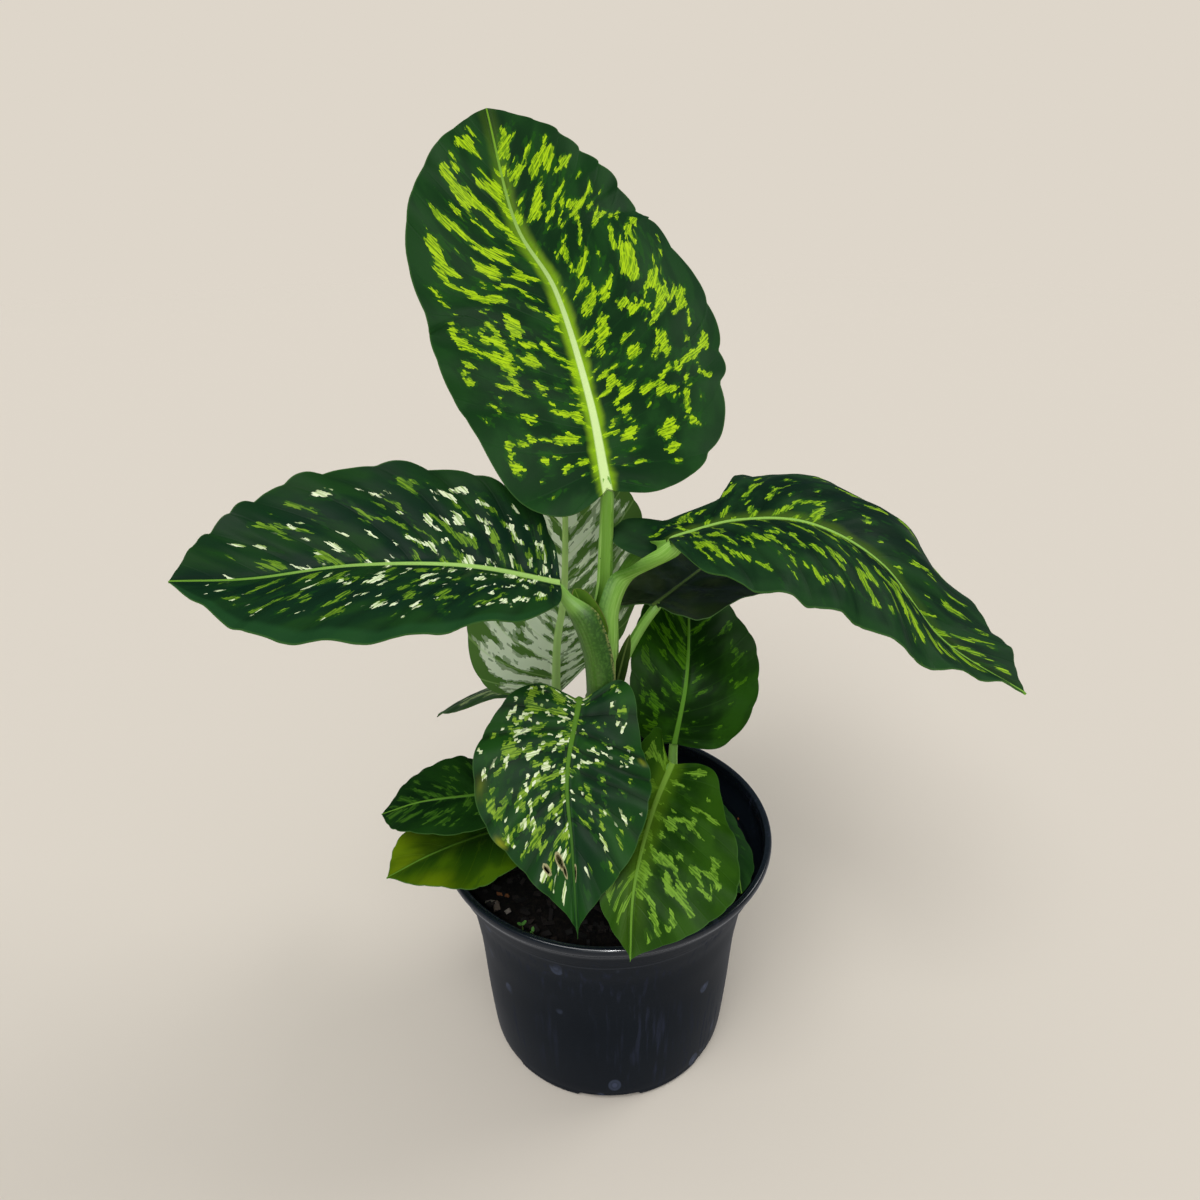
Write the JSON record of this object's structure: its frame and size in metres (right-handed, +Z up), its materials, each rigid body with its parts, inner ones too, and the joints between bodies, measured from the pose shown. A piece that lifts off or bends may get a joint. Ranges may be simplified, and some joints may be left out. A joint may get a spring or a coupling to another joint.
{
  "type": "potted dieffenbachia",
  "caption": "Variegated dieffenbachia with a cane, sheathed petioles and broad waved leaves, growing in a flared round plastic nursery pot of soil.",
  "frame": {"origin": "centre of the pot's underside, where it stands", "axes": "+Z up along the pot's axis, -Y to the plant's front"},
  "size_m": [0.3206, 0.2175, 0.4142],
  "materials": {
    "pot_plastic": "satin black plastic with dusty water marks",
    "potting_mix": "rough, matt, damp bark and peat",
    "green_stalk": "smooth, waxy, pale green",
    "lime_marked_leaf": "glossy dark green with lime blotches",
    "cream_marked_leaf": "glossy dark green with cream and lime blotches",
    "faintly_marked_leaf": "satin green with faint lighter blotches",
    "plain_leaf": "satin yellow-green",
    "dark_leaf": "satin near-black green",
    "pale_leaf": "matt pale underside with whitish patches",
    "seedling": "soft bright green"
  },
  "bodies": {
    "root": {"pot": "pot_plastic", "soil": "potting_mix", "main_stalk": "green_stalk", "right_stalk": "green_stalk", "left_stalk": "green_stalk", "top_leaf_blade": "lime_marked_leaf", "left_leaf_blade": "cream_marked_leaf", "right_leaf_blade": "lime_marked_leaf", "dark_leaf_blade": "dark_leaf", "round_leaf_blade": "faintly_marked_leaf", "front_leaf_blade": "cream_marked_leaf", "front_right_leaf_blade": "lime_marked_leaf", "upper_left_leaf_blade": "faintly_marked_leaf", "lower_left_leaf_blade": "plain_leaf", "small_right_leaf_blade": "faintly_marked_leaf", "back_leaf_blade": "pale_leaf", "back_left_leaf_blade": "pale_leaf", "seedling_left": "seedling", "seedling_right": "seedling"}
  },
  "joints": []
}
